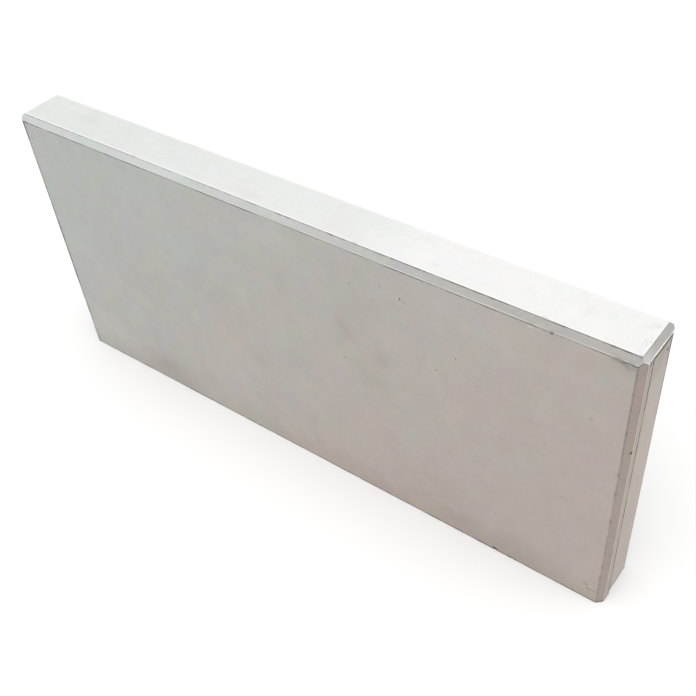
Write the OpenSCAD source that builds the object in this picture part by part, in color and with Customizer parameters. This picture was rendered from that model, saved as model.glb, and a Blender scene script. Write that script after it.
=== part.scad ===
// Concrete kerb stone, cast in one piece and standing on its long narrow bed.
// The edges round the top and the four upright edges are chamfered, and the
// chamfers run into each other at the corners. Each end keeps a flush joint
// strip beside the front face and is set back behind it, so that the joint
// between two stones closes where it shows. All sizes are in millimetres.

/* [Stone] */
// Length along the line of the kerb
stone_length = 1000; // [500:10:1200]
// Thickness from the front face to the back face
stone_thickness = 80; // [60:1:150]
// Height from the bed to the top face
stone_height = 450; // [200:10:600]

/* [Chamfers] */
// Width of the 45 degree chamfer round the top face
top_chamfer = 8; // [3:0.5:15]
// Width of the 45 degree chamfer down each upright edge
upright_chamfer = 8; // [3:0.5:15]

/* [End joints] */
// Width of the flush joint strip behind the front upright chamfer
joint_strip = 14; // [5:0.5:25]
// How far the rest of each end is set back
joint_relief = 1.5; // [0.5:0.1:2.5]

/* [Hidden] */
half_length = stone_length / 2;
half_thickness = stone_thickness / 2;
// Height at which the top chamfer starts, which also closes the set-back part
shoulder = stone_height - top_chamfer;
// Distance behind the front face at which the set-back part starts
relief_start = upright_chamfer + joint_strip;
concrete_grey = [0.74, 0.72, 0.69];

// Outline seen from above, with all four corners cut off
module plan() {
    x = half_length;
    y = half_thickness;
    c = upright_chamfer;
    polygon([
        [c - x, -y], [x - c, -y], [x, c - y], [x, y - c],
        [x - c, y], [c - x, y], [-x, y - c], [-x, c - y]
    ]);
}

// Outline seen from one side, with both top corners cut off
module side_view(width) {
    w = width / 2;
    c = top_chamfer;
    polygon([[-w, 0], [w, 0], [w, shoulder], [w - c, stone_height], [c - w, stone_height], [-w, shoulder]]);
}

// A side view drawn out across the stone
module cross_prism(width, across) {
    rotate([90, 0, 0])
        linear_extrude(2 * across, center = true)
            side_view(width);
}

// Block with every chamfer, before the ends are set back
module chamfered_block() {
    intersection() {
        linear_extrude(stone_height) plan();
        cross_prism(stone_length, stone_thickness);
        rotate([0, 0, 90]) cross_prism(stone_thickness, stone_length);
    }
}

// Shallow cut in the right-hand end: open to the back and the bed, closed by the strip and the top chamfer
module end_relief() {
    translate([half_length - joint_relief, relief_start - half_thickness, -joint_relief])
        cube([2 * joint_relief, stone_thickness, shoulder + joint_relief]);
}

module kerb_stone() {
    color(concrete_grey)
        difference() {
            chamfered_block();
            end_relief();
            mirror([1, 0, 0]) end_relief();
        }
}

kerb_stone();
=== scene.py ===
# Cast concrete kerb stone in a plain pale studio: the worn block, its finish, floor, lights and camera
import math
import random

import bpy
import numpy as np
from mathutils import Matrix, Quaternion, Vector, noise


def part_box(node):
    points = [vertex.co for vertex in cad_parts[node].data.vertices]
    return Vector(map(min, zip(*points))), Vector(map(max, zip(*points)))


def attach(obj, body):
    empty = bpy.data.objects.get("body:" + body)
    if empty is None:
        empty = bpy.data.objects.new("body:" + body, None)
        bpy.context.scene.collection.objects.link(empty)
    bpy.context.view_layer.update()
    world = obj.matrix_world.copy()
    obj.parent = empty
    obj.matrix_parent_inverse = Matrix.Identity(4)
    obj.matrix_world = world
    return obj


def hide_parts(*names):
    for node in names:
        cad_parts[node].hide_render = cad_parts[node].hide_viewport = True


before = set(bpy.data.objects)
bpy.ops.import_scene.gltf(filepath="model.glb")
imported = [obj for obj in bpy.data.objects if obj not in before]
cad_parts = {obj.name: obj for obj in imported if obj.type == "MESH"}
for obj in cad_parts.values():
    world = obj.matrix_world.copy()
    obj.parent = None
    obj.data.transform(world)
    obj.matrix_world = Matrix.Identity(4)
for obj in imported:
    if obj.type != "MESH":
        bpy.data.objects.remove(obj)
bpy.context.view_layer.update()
mm = 0.001
scene = bpy.context.scene
print("frame loaded:", ", ".join(sorted(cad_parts)))


class Wire:
    # one output socket, so that shader maths reads as plain expressions
    def __init__(self, tree, socket=None):
        self.tree = tree
        self.socket = socket

    def node(self, kind, settings, sockets, out=0):
        made = self.tree.nodes.new(kind)
        for name, value in settings.items():
            setattr(made, name, value)
        for key, value in sockets.items():
            if isinstance(value, Wire):
                self.tree.links.new(value.socket, made.inputs[key])
            else:
                made.inputs[key].default_value = value
        return Wire(self.tree, made.outputs[out] if len(made.outputs) else None)

    def math(self, operation, first, second):
        return self.node("ShaderNodeMath", {"operation": operation}, {0: first, 1: second})

    def __add__(self, other):
        return self.math("ADD", self, other)

    def __radd__(self, other):
        return self.math("ADD", other, self)

    def __sub__(self, other):
        return self.math("SUBTRACT", self, other)

    def __rsub__(self, other):
        return self.math("SUBTRACT", other, self)

    def __mul__(self, other):
        return self.math("MULTIPLY", self, other)

    def __rmul__(self, other):
        return self.math("MULTIPLY", other, self)

    def ease(self, low, high):  # 0 below low, 1 above high, smooth between them
        return self.node("ShaderNodeMapRange", {"interpolation_type": "SMOOTHSTEP"},
                         {0: self, 1: low, 2: high})

    def blend(self, first, second, share, way="MIX"):  # two colours
        return self.node("ShaderNodeMix", {"data_type": "RGBA", "blend_type": way},
                         {0: share, 6: first, 7: second}, out=2)


def tone(red, green, blue):  # screen colour, 11 to 255, as the linear colour that a shader takes
    return (*[((c / 255 + 0.055) / 1.055) ** 2.4 for c in (red, green, blue)], 1)


def grey(level):
    return (level, level, level, 1)


def newMaterial(name):
    material = bpy.data.materials.new(name)
    material.use_nodes = True
    material.node_tree.nodes.clear()
    return material, Wire(material.node_tree)


# The cast block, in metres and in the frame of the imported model
lowCorner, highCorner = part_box("kerb_stone")
stone = {
    "length": highCorner.x - lowCorner.x,
    "thickness": highCorner.y - lowCorner.y,
    "height": highCorner.z - lowCorner.z,
    "topChamfer": 8 * mm,
    "uprightChamfer": 8 * mm,
    "jointStrip": 14 * mm,
    "jointRelief": 1.5 * mm,
    "cell": 4 * mm,  # grid of the faces
    "besideArris": np.array((0.6, 1.8, 3.2, 5)) * mm,  # closer grid lines beside each arris
    "bedMargin": 8 * mm,  # the bed's own grid lies inside this
    "sharpAngle": 40,
}
halfLength = stone["length"] / 2
halfThickness = stone["thickness"] / 2
shoulder = stone["height"] - stone["topChamfer"]
reliefStart = stone["uprightChamfer"] + stone["jointStrip"] - halfThickness

# A level of the block is a round of straight runs, from the front right corner on
runKinds = ["upright", "strip", "step", "end", "upright", "back"]
runKinds += ["upright", "end", "step", "strip", "upright", "front"]
stripRun, rightStep, endRun, backRight, backLeft, leftStep, frontRun = 1, 2, 3, 4, 6, 8, 11


def gridLines(length):  # shares of a straight run, closer together beside its two ends
    beside = stone["besideArris"] * min(1, length / (3 * stone["besideArris"][-1]))
    count = max(1, round((length - 2 * beside[-1]) / stone["cell"]))
    middle = np.linspace(beside[-1], length - beside[-1], count + 1)
    return np.concatenate(([0], beside[:-1], middle, length - beside[-2::-1], [length])) / length


def outlineRuns(inset, setBack, stepForward=0):  # start and end of each run of a level
    x = halfLength - inset
    y = halfThickness - inset
    cut = max(0, stone["uprightChamfer"] - 2 * inset)
    step = reliefStart - stepForward
    right = [(x - cut, -y), (x, cut - y), (x, step), (x - setBack, step),
             (x - setBack, y - cut + setBack), (x - cut, y)]
    corners = np.array(right + [(-px, py) for px, py in reversed(right)])
    return list(zip(corners, np.roll(corners, -1, axis=0)))


runLines = [gridLines(np.linalg.norm(end - start)) for start, end in outlineRuns(0, stone["jointRelief"])]
runLines[rightStep] = runLines[leftStep] = np.array((0, 1))
cornerShare = stone["jointRelief"] / stone["uprightChamfer"]  # taken off the back chamfers by the set-back
runLines[backRight] = np.append(0, cornerShare + (1 - cornerShare) * runLines[backRight])
runLines[backLeft] = 1 - runLines[backRight][::-1]
ringKinds = [kind for kind, lines in zip(runKinds, runLines) for share in lines[:-1]]


def levelPoints(height, inset, setBack, stepForward=0):
    taken = setBack / stone["uprightChamfer"]
    spans = {backRight: (taken, 1), backLeft: (0, 1 - taken)}
    rows = []
    for run, (start, end) in enumerate(outlineRuns(inset, setBack, stepForward)):
        low, high = spans.get(run, (0, 1))
        shares = np.clip((runLines[run][:-1] - low) / (high - low), 0, 1)
        rows.append(start + shares[:, None] * (end - start))
    plan = np.concatenate(rows)
    return np.column_stack((plan, np.full(len(plan), height)))


points = []
pointNumbers = {}
quads = []
quadKinds = []


def pointNumber(place):  # points that agree to a ten-thousandth of a millimetre are one
    key = tuple(round(float(c), 7) for c in place)
    if key not in pointNumbers:
        pointNumbers[key] = len(points)
        points.append(key)
    return pointNumbers[key]


def addQuad(corners, kind):
    ring = list(dict.fromkeys(corners))  # a corner that fell together with its neighbour goes
    if len(ring) > 2:
        quads.append(ring)
        quadKinds.append(kind)


levels = [levelPoints(height, 0, stone["jointRelief"]) for height in gridLines(shoulder) * shoulder]
sideCount = len(levels)
meeting = stone["uprightChamfer"] / 2  # the chamfers at a corner meet this far above the shoulder
insets = np.unique(np.append(gridLines(stone["topChamfer"]) * stone["topChamfer"], meeting))
levels += [levelPoints(shoulder + inset, inset, 0) for inset in insets]
numbers = [[pointNumber(place) for place in level] for level in levels]
for row, (lower, upper) in enumerate(zip(numbers, numbers[1:])):
    for column, kind in enumerate(ringKinds):
        after = (column + 1) % len(ringKinds)
        if row >= sideCount and kind != "upright":
            kind = "bevel" if kind in ("front", "back") else "endBevel"
        addQuad((lower[column], lower[after], upper[after], upper[column]), kind)


def acrossRun(runs, run, axis):  # where the grid lines of a run lie along x or y
    start, end = runs[run]
    return start[axis] + runLines[run] * (end[axis] - start[axis])


def addPanel(runs, height, kind):  # a grid between the front, back and end runs of a level
    alongFront = acrossRun(runs, frontRun, 0)
    alongEnd = np.concatenate([acrossRun(runs, run, 1) for run in (stripRun, endRun)])
    grid = [[pointNumber((x, y, height)) for x in alongFront] for y in alongEnd]
    for near, far in zip(grid, grid[1:]):
        for column in range(len(near) - 1):
            corners = (near[column], near[column + 1], far[column + 1], far[column])
            addQuad(corners if kind == "top" else corners[::-1], kind)


addPanel(outlineRuns(stone["topChamfer"], 0), stone["height"], "top")
bedOutline = (stone["bedMargin"], 0, stone["bedMargin"])  # its step moves forward, clear of the corners
bedRing = [pointNumber(place) for place in levelPoints(0, *bedOutline)]
for column in range(len(bedRing)):
    after = (column + 1) % len(bedRing)
    addQuad((bedRing[column], bedRing[after], numbers[0][after], numbers[0][column]), "bed")
addPanel(outlineRuns(*bedOutline), 0, "bed")
print("block laid out:", len(points), "points,", len(quads), "faces")

# Pores: the cell under each becomes a ring with a small bowl in it
pores = {
    "placed": {  # x and z on the front, x and y on the top, and the radius, in millimetres
        "front": [
            (191, 398, 1.6), (112, 390, 1.1), (160, 406, 1.0), (274, 419, 0.7), (93, 254, 1.2),
            (269, 341, 1.1), (240, 306, 1.2), (300, 84, 0.7), (332, 83, 1.1), (449, 339, 0.4),
            (426, 181, 0.5), (283, 99, 0.6), (475, 30, 0.8), (478, 23, 0.7), (487, 23, 0.8),
            (-480, 417, 0.7),
        ],
        "top": [(489, -17, 0.8), (484, -8, 0.6), (489, -6, 0.7), (487, -12, 0.5)],
    },
    "loose": {  # how many more on each kind of face, their smallest and largest radius in millimetres
        "front": (8, 0.3, 0.45), "back": (90, 0.4, 1.4), "top": (5, 0.3, 0.45), "end": (14, 0.35, 0.8),
        "strip": (4, 0.3, 0.5), "bevel": (5, 0.3, 0.45), "upright": (8, 0.3, 0.6),
    },
    "smallestCell": 1.2 * mm,  # a smaller cell stays whole
    "cellShare": 0.44,  # largest radius in a cell
    "rimRoom": 1.13,  # what the uneven rim needs, in radii
    "uneven": (0.85, 1.12),
    "rings": ((1, 0), (0.8, 0.55), (0.4, 0.95)),  # width and depth from the rim down, in radii
    "seed": 7,
}
rng = random.Random(pores["seed"])
places = np.array(points)
centres = np.array([places[ring].mean(0) for ring in quads])
kindArray = np.array(quadKinds)
poreCells = {}  # radius and wanted centre
for kind, spots in pores["placed"].items():
    for x, other, radius in spots:
        if kind == "front":
            wanted = np.array((x * mm, -halfThickness, other * mm))
        else:
            wanted = np.array((x * mm, other * mm, stone["height"]))
        near = np.abs(centres - wanted).sum(1) + (kindArray != kind)  # other faces count a metre further
        poreCells[int(np.argmin(near))] = (radius * mm, wanted)
for kind, (count, smallest, largest) in pores["loose"].items():
    choice = [n for n in np.flatnonzero(kindArray == kind) if len(quads[n]) == 4]
    for n in rng.sample(choice, count):
        radius = (smallest + (largest - smallest) * rng.random() ** 2) * mm
        poreCells.setdefault(int(n), (radius, centres[n]))

faces = []
faceKinds = []
sunk = {}  # depth and way out of the points of the bowls, which the wear leaves alone
for n, ring in enumerate(quads):
    corners = places[ring]
    along = corners[1] - corners[0]
    up = corners[-1] - corners[0]
    size = min(np.linalg.norm(along), np.linalg.norm(up))
    if n not in poreCells or len(ring) != 4 or size < pores["smallestCell"]:
        faces.append(ring)
        faceKinds.append(quadKinds[n])
        continue
    radius, wanted = poreCells[n]
    radius = min(radius, pores["cellShare"] * size)
    room = 0.5 * size - pores["rimRoom"] * radius
    middle = corners.mean(0)
    middle = middle + np.clip(wanted - middle, -room, room)  # the hole keeps inside its cell
    along = along / np.linalg.norm(along)
    up = up / np.linalg.norm(up)
    out = np.cross(along, up)
    rings = []
    for share, depth in pores["rings"]:
        turn = []
        for k in range(8):
            angle = math.radians(45 * k - 135)  # the first point lies towards the first corner
            reach = radius * share * rng.uniform(*pores["uneven"])
            place = middle + reach * (math.cos(angle) * along + math.sin(angle) * up)
            turn.append(len(points))
            points.append(tuple(place - depth * radius * out))
            if depth:
                sunk[turn[-1]] = (depth, out)
        rings.append(turn)
    rim, wall, floorRing = rings
    for k in range(4):  # from the cell's corners to the rim
        faces.append([ring[k], ring[(k + 1) % 4], rim[(2 * k + 2) % 8], rim[2 * k + 1], rim[2 * k]])
    for outer, inner in ((rim, wall), (wall, floorRing)):
        faces += [[outer[k], outer[(k + 1) % 8], inner[(k + 1) % 8], inner[k]] for k in range(8)]
    faces.append(floorRing)
    faceKinds += [quadKinds[n]] * (len(faces) - len(faceKinds))
print("pores cut:", len(poreCells))

# Wear: every point is drawn onto the smooth meeting of the block's planes, less the bites of the chips
leaning, slight, even = 0.924, 0.383, 0.707  # parts of the ways out, which halve the angles at the arrises
wear = {
    "arrisRound": 0.2 * mm,
    "roundUneven": 0.8,
    "topWander": 0.1 * mm,  # how far the top chamfers wander in and out
    "uprightWander": 0.3 * mm,
    "wanderScale": 32,
    "faceWave": 0.12 * mm,  # how far the faces fall short of true
    "waveScale": 9,
    "waveFade": 10 * mm,  # no wave at the bed, all of it above this height
    "biteUneven": 0.3 * mm,
    "roughScale": 60,
    "turns": 4,
    "arrises": {  # a point on each, the way out of the stone and the axis that it runs along
        "frontTop": ((0, -halfThickness, shoulder), (0, -leaning, slight), 0),
        "topFront": ((0, stone["topChamfer"] - halfThickness, stone["height"]), (0, -slight, leaning), 0),
        "frontBed": ((0, -halfThickness, 0), (0, -even, -even), 0),
        "backTop": ((0, halfThickness, shoulder), (0, leaning, slight), 0),
        "backBed": ((0, halfThickness, 0), (0, even, -even), 0),
        "frontRight": ((halfLength - stone["uprightChamfer"], -halfThickness, 0), (slight, -leaning, 0), 2),
        "rightStrip": ((halfLength, stone["uprightChamfer"] - halfThickness, 0), (leaning, -slight, 0), 2),
        "frontLeft": ((stone["uprightChamfer"] - halfLength, -halfThickness, 0), (-slight, -leaning, 0), 2),
    },
    "chips": {  # place along the arris, radius of the bite and its depth, in millimetres
        "frontTop": [(392, 5, 0.7), (366, 5, 0.5), (470, 9, 0.5), (484, 8, 0.6), (-485, 8, 0.7)],
        "topFront": [(378, 5, 0.6), (-260, 10, 0.3), (120, 8, 0.3), (491, 4, 0.9)],
        "frontBed": [(335, 7, 1.4), (314, 7, 0.9), (363, 7, 1.0), (-240, 8, 0.6), (-402, 9, 0.7),
                     (92, 7, 0.6), (441, 8, 0.7)],
        "frontRight": [(339, 6, 0.4), (268, 5, 0.3), (234, 5, 0.4), (179, 7, 0.3), (60, 8, 0.4)],
        "rightStrip": [(110, 8, 0.6), (372, 7, 0.5)],
        "frontLeft": [(300, 7, 0.6), (95, 9, 0.8), (210, 6, 0.5)],
        "backTop": [(-330, 12, 1.6), (40, 9, 1.0), (300, 14, 1.4)],
        "backBed": [(-150, 12, 2.2), (210, 10, 1.8), (430, 9, 1.6), (-420, 8, 1.4)],
    },
}
diagonal = math.sqrt(0.5)
planes = [  # way out, distance from the origin and wander
    ((0, -1, 0), halfThickness, 0), ((0, 1, 0), halfThickness, 0), ((1, 0, 0), halfLength, 0),
    ((-1, 0, 0), halfLength, 0), ((0, 0, 1), stone["height"], 0), ((0, 0, -1), 0, 0),
]
endPlanes = slice(2, 4)
wallReach = (halfThickness + shoulder) * diagonal
endReach = (halfLength + shoulder) * diagonal
cornerReach = (halfLength + halfThickness - stone["uprightChamfer"]) * diagonal
for side in (-1, 1):
    planes.append(((0, side * diagonal, diagonal), wallReach, wear["topWander"]))
    planes.append(((side * diagonal, 0, diagonal), endReach, wear["topWander"]))
    for other in (-1, 1):
        planes.append(((side * diagonal, other * diagonal, 0), cornerReach, wear["uprightWander"]))
normals, offsets, wanders = [np.array(column) for column in zip(*planes)]

# the set-back parts of the ends lie behind the end planes
places = np.array(points)
hair = 1e-6
fromMiddle = np.abs(places[:, 0])
setBackPoints = np.abs(halfLength - stone["jointRelief"] - fromMiddle) < 0.1 * stone["jointRelief"]
setBackPoints &= (places[:, 1] > reliefStart - hair) & (places[:, 2] < shoulder + hair)
lowered = np.zeros((len(places), len(planes)))
lowered[setBackPoints, endPlanes] = stone["jointRelief"]


def uneven(scale, shift=(0, 0, 0)):  # smooth noise at each point, from about -1 to 1
    return np.array([noise.noise(Vector(p) * scale + Vector(shift)) for p in places])


wave = (uneven(wear["waveScale"]) - 1) * wear["faceWave"] / 2
wave *= np.clip(places[:, 2] / wear["waveFade"], 0, 1)
drift = uneven(wear["wanderScale"], (5, 1, 3))
rough = uneven(wear["roughScale"], (2, 8, 4))
softness = wear["arrisRound"] * (1 + wear["roundUneven"] * rough)[:, None]
bites = []
for arris, cuts in wear["chips"].items():
    base, out, axis = wear["arrises"][arris]
    for along, radius, depth in cuts:
        centre = np.array(Vector(base) + Vector(out) * (radius - depth) * mm)
        centre[axis] = along * mm
        bites.append((centre, radius * mm))
loose = np.array([n not in sunk for n in range(len(places))])
firstDepth = None
for turn in range(wear["turns"]):
    depths = places @ normals.T - offsets + lowered + drift[:, None] * wanders
    pulls = [np.broadcast_to(normals, (len(places), *normals.shape))]
    for centre, radius in bites:
        away = places - centre
        distance = np.linalg.norm(away, axis=1)
        depths = np.column_stack((depths, radius - distance + wear["biteUneven"] * rough))
        pulls.append((-away / distance[:, None])[:, None, :])
    if firstDepth is None:
        firstDepth = depths
    largest = depths.max(1, keepdims=True)
    weights = np.exp((depths - largest) / softness)
    proud = (largest + softness * np.log(weights.sum(1, keepdims=True)))[:, 0] - wave
    weights /= weights.sum(1, keepdims=True)
    pull = np.einsum("np,npk->nk", weights, np.concatenate(pulls, axis=1))
    step = proud / np.maximum((pull ** 2).sum(1), 0.2)  # no wild step where the pulls cancel
    places[loose] -= (step[:, None] * pull)[loose]
for n, (depth, out) in sunk.items():
    places[n] += wave[n] * out
places[:, 2] = np.maximum(places[:, 2], 0)
print("wear cut:", len(bites), "chips")

# What the finish needs to know at each point: chips, darkening in the pores, stains on the front
traces = {
    "chipFade": 0.8 * mm,  # how far the look of a chip reaches past it
    "poreDarkening": (0.6, 0.35),  # at the rim, and how much more at the bottom
    "stainDepth": 6 * mm,  # stains end this far behind the front face
    "stains": [  # x, z, half width and half height in millimetres, strength (below 0 is paler)
        (-309, 37, 30, 18, 0.35), (-275, 45, 40, 22, 0.12), (-150, 260, 50, 34, 0.12),
        (-370, 285, 60, 50, 0.08), (-300, 200, 60, 60, 0.08), (-8, 343, 16, 26, 0.15),
        (92, 315, 10, 12, 0.22), (102, 302, 10, 12, 0.26), (157, 280, 12, 16, 0.32),
        (112, 352, 42, 52, 0.12), (-70, 170, 18, 20, 0.14), (15, 242, 14, 14, 0.12),
        (0, 200, 34, 22, 0.1), (15, 85, 8, 20, 0.12), (240, 62, 62, 44, 0.16), (76, 30, 40, 16, 0.14),
        (144, 11, 40, 10, 0.14), (284, 28, 46, 14, 0.22), (330, 10, 90, 14, 0.12),
        (-300, 12, 60, 18, 0.34), (478, 433, 16, 8, 0.3), (318, 381, 10, 9, 0.07),
        (-491, 330, 5, 110, 0.15), (-20, 410, 44, 24, -0.1), (300, 400, 60, 30, -0.06),
        (-440, 60, 50, 40, -0.14), (-440, 240, 50, 60, -0.06), (380, 38, 46, 24, 0.2),
        (130, 238, 30, 24, 0.2), (-150, 115, 50, 50, -0.07),
    ],
}
rest = np.array(points)
chipped = np.exp(np.clip(firstDepth[:, len(planes):].max(1), -1, 0) / traces["chipFade"])
rimDarkening, moreDarkening = traces["poreDarkening"]
poreDarkening = np.array([rimDarkening + moreDarkening * sunk[n][0] if n in sunk else 0 for n in range(len(rest))])
stain = np.zeros(len(rest))
onFront = np.clip(1 - (rest[:, 1] + halfThickness) / traces["stainDepth"], 0, 1)
for x, z, wide, high, strength in traces["stains"]:
    spread = ((rest[:, 0] / mm - x) / wide) ** 2 + ((rest[:, 2] / mm - z) / high) ** 2
    stain += strength * np.exp(-spread) * onFront

mesh = bpy.data.meshes.new("castStone")
mesh.from_pydata(places.tolist(), [], faces)
for name, values in (("chipped", chipped), ("poreDarkening", poreDarkening), ("stain", stain)):
    mesh.attributes.new(name, "FLOAT", "POINT").data.foreach_set("value", values.astype(np.float32))
faceGroups = {
    "wallFace": ("front", "back"),
    "topFace": ("top",),
    "topBevel": ("bevel", "endBevel"),
    "endBevel": ("endBevel",),
    "uprightBevel": ("upright",),
    "endFace": ("end", "step"),
    "stripFace": ("strip",),
}
for name, kinds in faceGroups.items():
    values = np.array([kind in kinds for kind in faceKinds], np.float32)
    mesh.attributes.new(name, "FLOAT", "FACE").data.foreach_set("value", values)
mesh.shade_smooth()
mesh.set_sharp_from_angle(angle=math.radians(stone["sharpAngle"]))
mesh.validate()
castStone = bpy.data.objects.new("castStone", mesh)
scene.collection.objects.link(castStone)
print("stone made:", len(mesh.vertices), "points,", sum(len(f) - 2 for f in faces), "triangles")

# Finish: cool grey at the left, warmer to the right and towards the bed; a paler top and darker chamfers,
# partly their own tone and partly painted light and shade
finish = {
    "cool": tone(191, 194, 189),
    "warm": tone(190, 179, 172),
    "bedTone": tone(168, 158, 147),
    "end": tone(198, 188, 180),
    "strip": tone(190, 178, 168),
    # the top's tones: paler than the walls and brighter to the right, partly painted light from above
    "topLeft": tone(203, 206, 203),
    "topRight": tone(219, 219, 218),
    # the chamfers' tones: darker than the faces, the long top chamfers darker to the right, partly painted
    # shade
    "bevelLeft": tone(185, 189, 186),
    "bevelRight": tone(164, 161, 157),
    "bevelCorner": tone(186, 184, 180),
    "upright": tone(170, 155, 147),
    "uprightGrey": tone(167, 156, 147),
    "stain": tone(222, 219, 212),  # multiplied
    # painted shade along the arrises, the bottom edge and under the end's lip
    "arrisShade": tone(150, 149, 147),  # multiplied
    "scuff": tone(112, 103, 94),
    # dirt in marks and nicks, the darker pores, painted shade behind the joint strip and painted shadow
    # under the end's lip
    "dirtAndShade": tone(70, 62, 55),
    # pale serves paler stains and specks, and painted highlights along the arrises
    "pale": tone(226, 225, 221),
    "stripHighlight": tone(206, 195, 185),
    "paleGrain": tone(214, 212, 206),
    "darkGrain": tone(138, 131, 123),
    "skin": [  # clouds from patches down to sand: scale, detail, roughness, how much each shades
        (7, 3.0, 0.55, 0.06),
        (42, 4.0, 0.55, 0.13),
        (150, 3.0, 0.55, 0.1),
        (380, 3.0, 0.65, 0.085),
        (1500, 2.0, 0.7, 0.09),
    ],
    "topSmoothness": 0.35,  # how much less the clouds shade the top
    "hues": [(34, 3.0, 0.06), (13, 2.0, 0.04)],  # coloured clouds: scale, detail, share
    "drawnScale": 450.0,  # streaks drawn along the long chamfers
    "grainScale": 330.0,
    "markSway": 4 * mm,  # how far noise moves the outlines of the marks
    "roughness": 0.82,
    "specular": 0.3,
    "bumpStrength": 0.5,
    "bumpDepth": 0.25 * mm,
}
# Sharper marks on the front face: x, z, half width and half height in millimetres, strength
scuffMarks = [
    (469, 439, 10, 3, 0.3), (484, 435.5, 9, 4, 0.25), (477, 438, 7, 3, 0.25), (-486, 440.5, 8, 1.6, 0.5),
    (-481, 417, 3, 3, 0.2), (474, 31, 6, 1.6, 0.4), (480, 23.5, 6, 1.6, 0.4), (488, 22, 4, 1.5, 0.3),
    (392, 440, 4, 1.8, 0.4), (424, 182, 4, 2, 0.2), (449, 339, 4, 2.5, 0.2), (394, 243, 2.5, 2, 0.25),
    (318, 381, 7, 3, 0.06), (196, 396, 2, 2, 0.25), (492, 339, 1.2, 2.5, 0.4), (492, 268, 1.2, 2, 0.3),
    (492, 234, 1.2, 2, 0.5), (492, 179, 1.2, 2.5, 0.3),
]
dirtMarks = [
    (335, 3, 5, 4, 1.0), (314, 1.5, 9, 1.8, 0.7), (362, 1.5, 10, 1.8, 0.7), (478, 440.5, 5, 1.4, 0.5),
    (487, 440.5, 4, 1.4, 0.4), (392, 440.5, 2.5, 1.4, 0.4),
]
paleMarks = [
    (366, 438, 5, 2, 0.5), (260, 215, 3, 2.2, 0.25), (329, 243, 3, 2.2, 0.25), (241, 150, 3, 2.2, 0.2),
    (221, 296, 3, 2, 0.25), (292, 299, 3, 2, 0.2), (389, 61, 4, 2, 0.18), (187, 399, 1.8, 1.6, 0.4),
    (396, 441, 2.5, 1.5, 0.5), (482, 29, 5, 1.2, 0.3), (487, 18, 4, 1.2, 0.3),
]
# Smudges on the top: x, y, half width and half depth in millimetres, strength
topMarks = [
    (484, 19, 7, 4, 0.1), (478, 13, 6, 3, 0.06), (486, -12, 5, 7, 0.05), (491, -32, 2.5, 2, 0.6),
    (227, -15, 6, 3, 0.08), (413, 2, 4, 16, 0.04), (438, 8, 6, 12, 0.04), (190, 20, 14, 6, 0.04),
    (-60, -18, 30, 8, 0.04), (-390, 6, 24, 16, 0.04), (395, 30, 2, 2, 0.15),
]
markDepth = 10  # how far a mark on the front or the top reaches through its face, in millimetres
# Nicks in the arrises and the end: x, y, z and radius in millimetres, strength
nicks = [
    (499, -33, 305, 2.4, 1.0), (498, 24, 420, 2.8, 1.0), (498.5, 8, 437, 2.5, 0.6),
    (498.5, -8, 437, 4, 1.0), (499, -18, 250, 1.6, 0.4), (492, -39, 85, 1.5, 0.4),
    (-492, -40, 240, 1.8, 0.5),
]


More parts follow.
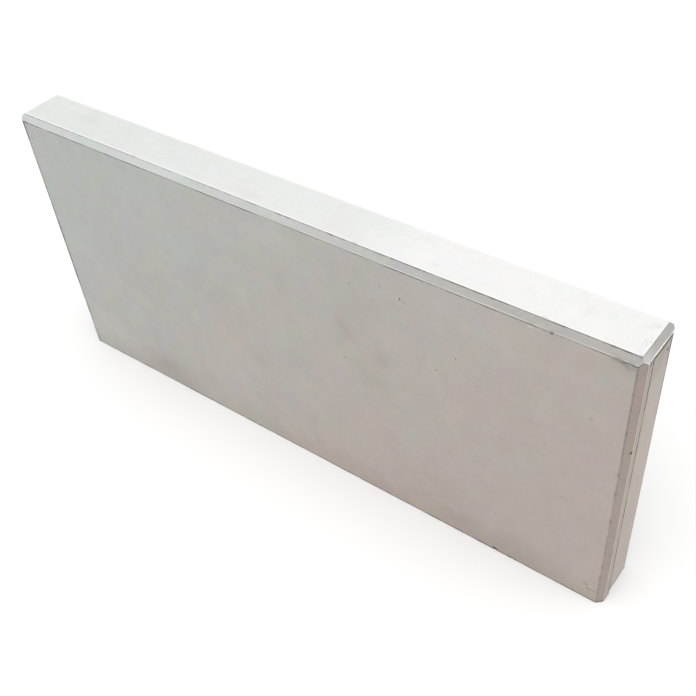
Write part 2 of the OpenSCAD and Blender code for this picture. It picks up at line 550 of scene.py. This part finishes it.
def concreteFinish():
    material, w = newMaterial("castConcrete")
    place = w.node("ShaderNodeTexCoord", {}, {}, out="Object")
    x, y, z = [w.node("ShaderNodeSeparateXYZ", {}, {0: place}, out) for out in range(3)]
    xSpan = w.math("ABSOLUTE", x, 0)
    ySpan = w.math("ABSOLUTE", y, 0)

    def vector(operation, first, second=(0, 0, 0), out=0):
        return w.node("ShaderNodeVectorMath", {"operation": operation}, {0: first, 1: second}, out)

    def cloud(scale, detail=3.0, roughness=0.55, out=0):
        sockets = {"Vector": place, "Scale": scale, "Detail": detail, "Roughness": roughness}
        return w.node("ShaderNodeTexNoise", {}, sockets, out)

    def painted(name):
        return w.node("ShaderNodeAttribute", {"attribute_name": name}, {}, out="Fac")

    layers = [cloud(scale, detail, roughness) for scale, detail, roughness, share in finish["skin"]]
    patches, mottle, flecks, grain, sand = layers
    wallFace = painted("wallFace")
    topFace = painted("topFace")
    topBevel = painted("topBevel")
    endBevel = painted("endBevel")
    uprightBevel = painted("uprightBevel")
    endFace = painted("endFace")
    stripFace = painted("stripFace")

    # ground tones of the faces
    warmth = (x - 1.25 * z + 0.87 + (patches - 0.5) * 0.35).ease(-0.15, 1.15)
    colour = w.blend(finish["cool"], finish["warm"], warmth)
    low = 1 - (z + (mottle - 0.5) * 0.03).ease(0.0, 0.06)
    colour = w.blend(colour, finish["bedTone"], low * (0.1 + 0.25 * x.ease(-0.2, 0.3)))
    colour = w.blend(colour, finish["end"], endFace)
    colour = w.blend(colour, finish["strip"], stripFace + endFace * 0.35 * (1 - z.ease(0.1, 0.25)))
    colour = w.blend(colour, finish["upright"], stripFace * 0.3 * (1 - z.ease(0.03, 0.1)))
    # painted light: the top grows paler towards the right
    topLightShare = 0.35 * x.ease(-0.4, 0.05) + 0.65 * x.ease(0.08, 0.22)
    litTopTone = w.blend(finish["topLeft"], finish["topRight"], topLightShare)
    colour = w.blend(colour, litTopTone, topFace)
    # painted shade: the long top chamfers darken to the right and the upright chamfers are darker, partly
    # their own tone
    shadedBevelTone = w.blend(finish["bevelLeft"], finish["bevelRight"], x.ease(-0.3, 0.42))
    colour = w.blend(colour, shadedBevelTone, topBevel)
    nearFront = 1 - (y + halfThickness).ease(4 * mm, 40 * mm)
    colour = w.blend(colour, finish["bevelCorner"], endBevel * nearFront)
    uprightTone = w.blend(finish["upright"], finish["uprightGrey"], cloud(12).ease(0.42, 0.58))
    colour = w.blend(colour, uprightTone, uprightBevel)

    # cloudiness, a little hue, streaks on the chamfers and single grains
    shade = sum((layer - 0.5) * row[-1] for layer, row in zip(layers, finish["skin"]))
    shade = shade * (1 - finish["topSmoothness"] * topFace)
    colour = w.blend(colour, 1 + shade, 1.0, "MULTIPLY")
    for scale, detail, share in finish["hues"]:
        colour = w.blend(colour, cloud(scale, detail, out=1), share, "OVERLAY")
    stretched = vector("MULTIPLY", place, (0.05, 1, 1))
    drawn = w.node("ShaderNodeTexNoise", {}, {"Vector": stretched, "Scale": finish["drawnScale"]})
    colour = w.blend(colour, 1 + (drawn - 0.5) * 0.22, topBevel - endBevel + topFace * 0.1, "MULTIPLY")
    grains = {"Vector": place, "Scale": finish["grainScale"]}
    spot = w.node("ShaderNodeTexVoronoi", {}, grains)
    spotColour = w.node("ShaderNodeTexVoronoi", {}, grains, out="Color")
    pick = w.node("ShaderNodeSeparateColor", {}, {0: spotColour})
    dot = 1 - spot.ease(0.12, 0.3)
    colour = w.blend(colour, finish["paleGrain"], dot * pick.ease(0.92, 0.95) * 0.3)
    colour = w.blend(colour, finish["darkGrain"], dot * (1 - pick.ease(0.04, 0.07)) * 0.3)

    # listed marks, their outlines broken up by noise
    sway = vector("SUBTRACT", cloud(260, 3.0, out=1), (0.5, 0.5, 0.5))
    bent = vector("ADD", place, vector("MULTIPLY", sway, [finish["markSway"]] * 3))

    def blot(centre, halfSizes, strength):
        away = vector("SUBTRACT", bent, [c * mm for c in centre])
        reach = vector("LENGTH", vector("DIVIDE", away, [h * mm for h in halfSizes]), out="Value")
        return strength * (1 - reach.ease(0.45, 1.1))

    def frontBlots(marks):
        return sum(blot((across, -halfThickness / mm, up), (wide, markDepth, high), strength)
                   for across, up, wide, high, strength in marks)

    stain = painted("stain")
    blotch = 0.2 + 1.6 * cloud(75, 4.0)
    smudges = sum(blot((across, deep, stone["height"] / mm), (wide, long, markDepth), strength)
                  for across, deep, wide, long, strength in topMarks)
    colour = w.blend(colour, finish["stain"], stain * blotch, "MULTIPLY")
    colour = w.blend(colour, finish["pale"], 0 - stain)
    colour = w.blend(colour, finish["scuff"], frontBlots(scuffMarks) + smudges)
    colour = w.blend(colour, finish["dirtAndShade"], frontBlots(dirtMarks))
    colour = w.blend(colour, finish["pale"], frontBlots(paleMarks))

    # thin lines along the arrises: painted shade on the darker side of each, painted highlights on the
    # paler side
    ragged = (flecks - 0.5) * 1.6 * mm
    broken = 0.5 + 0.9 * cloud(38, 3.0).ease(0.35, 0.65)

    def beside(distance, near, far):  # 1 nearer to an arris than near, 0 further than far, in millimetres
        return 1 - (distance + ragged).ease(near * mm, far * mm)

    def lines(rows):  # strength by face, distance from the arris, near and far
        return sum(where * beside(distance, near, far) for where, distance, near, far in rows)

    leftHalf = 1 - x.ease(-0.1, 0.1)
    upper = z.ease(0.22, 0.34)
    underBevel = shoulder - z
    underTop = stone["height"] - z
    fromEnd = halfLength - xSpan
    fromWall = halfThickness - ySpan
    fromUpright = fromEnd - stone["uprightChamfer"]
    underCorner = w.math("MINIMUM", fromEnd, fromWall) + underBevel
    topEdge = w.math("MINIMUM", fromUpright, fromWall - stone["topChamfer"])
    onStrip = y + halfThickness - stone["uprightChamfer"]
    behindStrip = y - reliefStart
    fromBack = halfThickness - stone["uprightChamfer"] - y
    sides = wallFace + endFace + stripFace + uprightBevel
    # painted shade: under the chamfers, along the bottom edge and the arrises, at the back edge of the ends
    # and down from their lip
    paintedShadeLines = lines([
        (wallFace * 0.75 + stripFace * 0.5, underBevel, 0.7, 2.4),
        (stripFace * 0.4, underBevel, 3, 12),
        (sides * 0.6, z, 2, 4),
        (wallFace * (0.15 + 0.2 * upper), fromUpright, 0.8, 2),
        (wallFace * 0.7 * leftHalf, fromUpright, 2, 5),
        (topBevel * (0.9 - 0.4 * leftHalf) - endBevel * 0.5, underTop, 0.5, 1.4),
        (uprightBevel * (0.2 + 0.25 * upper), fromWall, 0.4, 1.3),
        (uprightBevel * 0.4 * upper, fromEnd, 0.4, 1.2),
        (uprightBevel * 0.8, underCorner, 0.6, 1.8),
        (stripFace * 0.15, w.math("ABSOLUTE", onStrip - 6 * mm, 0), 0.8, 2.2),
        (endFace * (0.15 + 0.7 * z.ease(0.3, 0.44)), fromBack, 1, 3.5),
        (endFace * 0.2, underBevel, 8, 70),
    ])
    colour = w.blend(colour, finish["arrisShade"], paintedShadeLines * broken, "MULTIPLY")
    # painted highlights along the edges of the joint strip and the upright chamfers
    stripHighlightLines = lines([
        (stripFace * 0.8, onStrip, 1.5, 4),
        (stripFace * 0.4, w.math("ABSOLUTE", onStrip - 10 * mm, 0), 1, 2.6),
        (uprightBevel * 0.15, fromEnd, 0.4, 1.2),
    ])
    colour = w.blend(colour, finish["stripHighlight"], stripHighlightLines * broken)
    # painted highlights along the top's edge and the lower edges of the top chamfers
    paintedHighlightLines = lines([
        (topFace * 0.55, topEdge, 1.5, 3.5),
        ((topBevel - endBevel) * (0.35 - 0.15 * leftHalf), 0 - underBevel, 0.4, 1.3),
        (endBevel * (0.5 + 0.5 * behindStrip.ease(0, 3 * mm)), 0 - underBevel, 0.5, 1.7),
    ])
    colour = w.blend(colour, finish["pale"], paintedHighlightLines * broken)
    colour = w.blend(colour, finish["scuff"], painted("chipped") * 0.3)

    # dirt and painted shade on the edge of the joint strip and in the step behind it, painted shadow under
    # the lip, dirt in nicks, darker pores
    seep = (cloud(55, 3.0) - 0.5) * 14 * mm
    jointDirtAndShade = stripFace * beside(0 - behindStrip, 1.2, 2.8) * broken
    stepDirtAndShade = endFace * (0.15 + 0.2 * upper) * (1 - (behindStrip + seep).ease(1 * mm, 10 * mm))
    # painted shadow under the lip of the end chamfer
    lipShadow = endFace * 0.9 * (1 - (underBevel + 0.4 * seep).ease(6 * mm, 10.5 * mm))
    cuts = sum(blot((across, deep, up), (radius, radius, radius), strength)
               for across, deep, up, radius, strength in nicks)
    colour = w.blend(colour, finish["dirtAndShade"], jointDirtAndShade + stepDirtAndShade + lipShadow + cuts + painted("poreDarkening"))

    height = mottle * 0.25 + grain * 0.35 + sand * 0.4 - dot * (1 - pick.ease(0.12, 0.15)) * 0.6
    relief = {"Strength": finish["bumpStrength"], "Distance": finish["bumpDepth"], "Height": height}
    bump = w.node("ShaderNodeBump", {}, relief, out="Normal")
    roughness = finish["roughness"] + (grain - 0.5) * 0.16 + (mottle - 0.5) * 0.1
    shader = w.node("ShaderNodeBsdfPrincipled", {}, {
        "Base Color": colour, "Roughness": roughness, "Normal": bump,
        "Specular IOR Level": finish["specular"]})
    w.node("ShaderNodeOutputMaterial", {}, {"Surface": shader})
    return material


mesh.materials.append(concreteFinish())
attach(castStone, "root")
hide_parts("kerb_stone")
print("finish made")

# Studio: pale floor, wide soft light from above, fills from the front and the right
studio = {
    "floorSize": 40.0,
    "floorSeen": 0.85,  # what the camera sees, white where no shadow falls
    "floorBounce": 0.42,  # what lights the stone from below
    "ambient": 0.6,
    "lamps": [
        {"name": "overhead", "azimuth": 20, "elevation": 76, "strength": 0.58, "spread": 70},
        {"name": "frontFill", "azimuth": -10, "elevation": 20, "strength": 0.12, "spread": 90},
        {"name": "rightFill", "azimuth": 75, "elevation": 25, "strength": 0.2, "spread": 90},
    ],
}


def fromAngles(azimuth, elevation):  # a way out from the stone; 0, 0 is straight out from the front face
    turn, rise = math.radians(azimuth), math.radians(elevation)
    return Vector((math.sin(turn) * math.cos(rise), -math.cos(turn) * math.cos(rise), math.sin(rise)))


def seenDirectly(w):  # 1 for camera, glossy and transmission rays
    share = 1.0
    for ray in ("Is Camera Ray", "Is Glossy Ray", "Is Transmission Ray"):
        share = share * (1 - w.node("ShaderNodeLightPath", {}, {}, out=ray))
    return 1 - share


def buildStudio():
    side = studio["floorSize"] / 2
    corners = [(-side, -side, 0), (side, -side, 0), (side, side, 0), (-side, side, 0)]
    floorMesh = bpy.data.meshes.new("floor")
    floorMesh.from_pydata(corners, [], [(0, 1, 2, 3)])
    floor = bpy.data.objects.new("floor", floorMesh)
    scene.collection.objects.link(floor)
    material, w = newMaterial("paleFloor")
    seen = w.node("ShaderNodeBsdfDiffuse", {}, {"Color": grey(studio["floorSeen"])})
    bounce = w.node("ShaderNodeBsdfDiffuse", {}, {"Color": grey(studio["floorBounce"])})
    mixed = w.node("ShaderNodeMixShader", {}, {0: seenDirectly(w), 1: bounce, 2: seen})
    w.node("ShaderNodeOutputMaterial", {}, {"Surface": mixed})
    floorMesh.materials.append(material)

    scene.world = bpy.data.worlds.new("studioWorld")
    scene.world.use_nodes = True
    scene.world.node_tree.nodes.clear()
    w = Wire(scene.world.node_tree)
    light = w.node("ShaderNodeBackground", {}, {"Color": grey(studio["ambient"])})
    white = w.node("ShaderNodeBackground", {}, {"Color": grey(1)})
    mixed = w.node("ShaderNodeMixShader", {}, {0: seenDirectly(w), 1: light, 2: white})
    w.node("ShaderNodeOutputWorld", {}, {"Surface": mixed})

    for lamp in studio["lamps"]:
        data = bpy.data.lights.new(lamp["name"], "SUN")
        data.energy = lamp["strength"] * math.pi  # at pi a sun shows a facing colour as it is written
        data.angle = math.radians(lamp["spread"])
        made = bpy.data.objects.new(lamp["name"], data)
        way = fromAngles(lamp["azimuth"], lamp["elevation"])
        made.rotation_euler = way.to_track_quat("Z", "Y").to_euler()
        scene.collection.objects.link(made)


buildStudio()
print("studio built:", len(studio["lamps"]), "lamps")

# Camera from the front right and above, turned a little on its axis
view = {
    "azimuth": 40.76,
    "elevation": 45.65,
    "roll": 5.82,
    "distance": 1.444,
    "target": Vector((0.078, 0.0, 0.127)),
    "focalPixels": 982,
    "imagePixels": 696,
    "axisPixel": (360, 400),  # where the lens axis meets the image
    "clipEnd": 60,
}


def placeCamera():
    data = bpy.data.cameras.new("photoView")
    camera = bpy.data.objects.new("photoView", data)
    back = fromAngles(view["azimuth"], view["elevation"])
    camera.location = view["target"] + back * view["distance"]
    turn = Quaternion((0, 0, 1), -math.radians(view["roll"]))
    camera.rotation_euler = (back.to_track_quat("Z", "Y") @ turn).to_euler()
    middle = (view["imagePixels"] - 1) / 2
    data.lens = data.sensor_width * view["focalPixels"] / view["imagePixels"]
    data.shift_x = (middle - view["axisPixel"][0]) / view["imagePixels"]
    data.shift_y = (view["axisPixel"][1] - middle) / view["imagePixels"]
    data.clip_end = view["clipEnd"]
    scene.collection.objects.link(camera)
    scene.camera = camera


placeCamera()
scene.view_settings.view_transform = "Standard"
print("camera placed")
